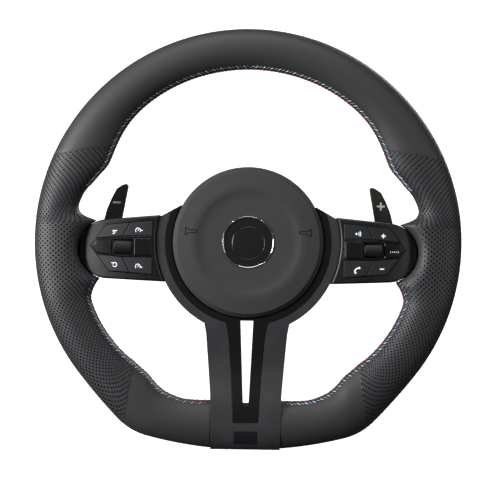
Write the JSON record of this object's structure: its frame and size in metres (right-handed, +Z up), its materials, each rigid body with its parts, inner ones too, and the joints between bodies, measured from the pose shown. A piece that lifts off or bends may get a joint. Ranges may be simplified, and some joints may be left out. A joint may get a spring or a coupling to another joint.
{
  "type": "sport steering wheel",
  "caption": "Leather rim steering wheel with a flat bottom, airbag module, switch pods, forked lower spoke and two shift paddles.",
  "frame": {"origin": "centre of the hub's bore at its back face, where it seats on the steering column", "axes": "+Y along the steering axis, away from the driver; +Z up; +X to the driver's right"},
  "size_m": [0.37, 0.0657, 0.3645],
  "materials": {
    "rim_leather": "smooth black leather, soft sheen",
    "grip_leather": "perforated black leather, soft sheen",
    "rim_foam": "moulded foam",
    "cast_alloy": "as cast",
    "hub_steel": "machined",
    "satin_grey": "satin dark grey paint",
    "gloss_black": "high gloss black",
    "bezel_black": "fine satin black",
    "key_dark": "soft-touch blue-black",
    "roller_black": "satin black, knurled",
    "airbag_grain": "soft grained charcoal",
    "emblem_bright": "polished",
    "emblem_dark": "gloss dark",
    "badge_dark": "gloss dark",
    "rear_black": "fine grained black",
    "paddle_dark": "semi gloss brown-black",
    "mark_white": "white inlay",
    "zinc_steel": "zinc plated",
    "board_green": "solder mask",
    "carrier_black": "moulded",
    "housing_metal": "black coated sheet steel",
    "inflator_metal": "drawn steel",
    "cushion_cloth": "folded woven cloth",
    "module_case": "moulded",
    "wire_sleeve": "taped loom",
    "stitch_pale": "pale grey twisted thread",
    "stitch_slate": "slate blue twisted thread",
    "stitch_red": "dark red twisted thread",
    "symbol_white": "printed symbols"
  },
  "bodies": {
    "wheel": {"armature": "cast_alloy", "badge_plate": "badge_dark", "column_connector": "module_case", "control_module": "module_case", "cover_screws": "zinc_steel", "gloss_spoke_insert": "gloss_black", "horn_contacts": "zinc_steel", "horn_springs": "zinc_steel", "hub_insert": "hub_steel", "leather_bottom_left": "rim_leather", "leather_bottom_right": "rim_leather", "leather_left_grip": "grip_leather", "leather_right_grip": "grip_leather", "leather_top": "rim_leather", "left_gloss_strip": "gloss_black", "left_paddle_bracket": "cast_alloy", "left_paddle_microswitch": "module_case", "left_spoke_bezel": "bezel_black", "left_switch_board": "board_green", "left_switch_carrier": "carrier_black", "lower_spoke_cover": "satin_grey", "paddle_pins": "zinc_steel", "paddle_springs": "zinc_steel", "rear_cover": "rear_black", "right_gloss_strip": "gloss_black", "right_paddle_bracket": "cast_alloy", "right_paddle_microswitch": "module_case", "right_spoke_bezel": "bezel_black", "right_switch_board": "board_green", "right_switch_carrier": "carrier_black", "rim_foam": "rim_foam", "wiring_harness": "wire_sleeve"},
    "airbag_module": {"airbag_cover": "airbag_grain", "airbag_housing": "housing_metal", "emblem_disc": "emblem_dark", "emblem_ring": "emblem_bright", "folded_cushion": "cushion_cloth", "guide_pins": "zinc_steel", "inflator": "inflator_metal", "inflator_nuts": "zinc_steel", "retainer_ring": "zinc_steel"},
    "left_upper_outer_key": {"left_key_upper_outer": "key_dark"},
    "left_upper_inner_key": {"left_key_upper_inner": "key_dark"},
    "left_lower_outer_key": {"left_key_lower_outer": "key_dark"},
    "left_lower_inner_key": {"left_key_lower_inner": "key_dark"},
    "left_gloss_outer_key": {"left_key_gloss_outer": "gloss_black"},
    "left_gloss_inner_key": {"left_key_gloss_inner": "gloss_black"},
    "left_roller": {"left_roller": "roller_black"},
    "left_paddle": {"left_paddle": "paddle_dark", "left_paddle_mark": "mark_white"},
    "right_upper_outer_key": {"right_key_upper_outer": "key_dark"},
    "right_upper_inner_key": {"right_key_upper_inner": "key_dark"},
    "right_lower_outer_key": {"right_key_lower_outer": "key_dark"},
    "right_lower_inner_key": {"right_key_lower_inner": "key_dark"},
    "right_gloss_outer_key": {"right_key_gloss_outer": "gloss_black"},
    "right_gloss_inner_key": {"right_key_gloss_inner": "gloss_black"},
    "right_roller": {"right_roller": "roller_black"},
    "right_paddle": {"right_paddle": "paddle_dark", "right_paddle_mark": "mark_white"}
  },
  "joints": [
    {"name": "horn_press", "type": "slide", "parent": "wheel", "child": "airbag_module", "axis": [0, 1, 0], "range_m": [0, 0.0012], "stiffness_N_per_m": 20000, "deforming": ["horn_springs"]},
    {"name": "left_upper_outer_key_press", "type": "slide", "parent": "wheel", "child": "left_upper_outer_key", "axis": [0, 1, 0], "range_m": [0, 0.0008], "stiffness_N_per_m": 3750},
    {"name": "left_upper_inner_key_press", "type": "slide", "parent": "wheel", "child": "left_upper_inner_key", "axis": [0, 1, 0], "range_m": [0, 0.0008], "stiffness_N_per_m": 3750},
    {"name": "left_lower_outer_key_press", "type": "slide", "parent": "wheel", "child": "left_lower_outer_key", "axis": [0, 1, 0], "range_m": [0, 0.0008], "stiffness_N_per_m": 3750},
    {"name": "left_lower_inner_key_press", "type": "slide", "parent": "wheel", "child": "left_lower_inner_key", "axis": [0, 1, 0], "range_m": [0, 0.0008], "stiffness_N_per_m": 3750},
    {"name": "left_gloss_outer_key_press", "type": "slide", "parent": "wheel", "child": "left_gloss_outer_key", "axis": [0, 1, 0], "range_m": [0, 0.0008], "stiffness_N_per_m": 3750},
    {"name": "left_gloss_inner_key_press", "type": "slide", "parent": "wheel", "child": "left_gloss_inner_key", "axis": [0, 1, 0], "range_m": [0, 0.0008], "stiffness_N_per_m": 3750},
    {"name": "left_roller_turn", "type": "hinge", "parent": "wheel", "child": "left_roller", "pos_m": [-0.1078, -0.0574, -0.0054], "axis": [1, 0, 0], "range_deg": [-20, 20], "stiffness_Nm_per_rad": 0.02},
    {"name": "left_paddle_pull", "type": "hinge", "parent": "wheel", "child": "left_paddle", "pos_m": [-0.072, -0.023, 0], "axis": [0, 0, 1], "range_deg": [0, 6], "stiffness_Nm_per_rad": 4.5},
    {"name": "right_upper_outer_key_press", "type": "slide", "parent": "wheel", "child": "right_upper_outer_key", "axis": [0, 1, 0], "range_m": [0, 0.0008], "stiffness_N_per_m": 3750},
    {"name": "right_upper_inner_key_press", "type": "slide", "parent": "wheel", "child": "right_upper_inner_key", "axis": [0, 1, 0], "range_m": [0, 0.0008], "stiffness_N_per_m": 3750},
    {"name": "right_lower_outer_key_press", "type": "slide", "parent": "wheel", "child": "right_lower_outer_key", "axis": [0, 1, 0], "range_m": [0, 0.0008], "stiffness_N_per_m": 3750},
    {"name": "right_lower_inner_key_press", "type": "slide", "parent": "wheel", "child": "right_lower_inner_key", "axis": [0, 1, 0], "range_m": [0, 0.0008], "stiffness_N_per_m": 3750},
    {"name": "right_gloss_outer_key_press", "type": "slide", "parent": "wheel", "child": "right_gloss_outer_key", "axis": [0, 1, 0], "range_m": [0, 0.0008], "stiffness_N_per_m": 3750},
    {"name": "right_gloss_inner_key_press", "type": "slide", "parent": "wheel", "child": "right_gloss_inner_key", "axis": [0, 1, 0], "range_m": [0, 0.0008], "stiffness_N_per_m": 3750},
    {"name": "right_roller_turn", "type": "hinge", "parent": "wheel", "child": "right_roller", "pos_m": [0.1078, -0.0574, -0.0054], "axis": [1, 0, 0], "continuous": true},
    {"name": "right_paddle_pull", "type": "hinge", "parent": "wheel", "child": "right_paddle", "pos_m": [0.072, -0.023, 0], "axis": [0, 0, -1], "range_deg": [0, 6], "stiffness_Nm_per_rad": 4.5}
  ]
}
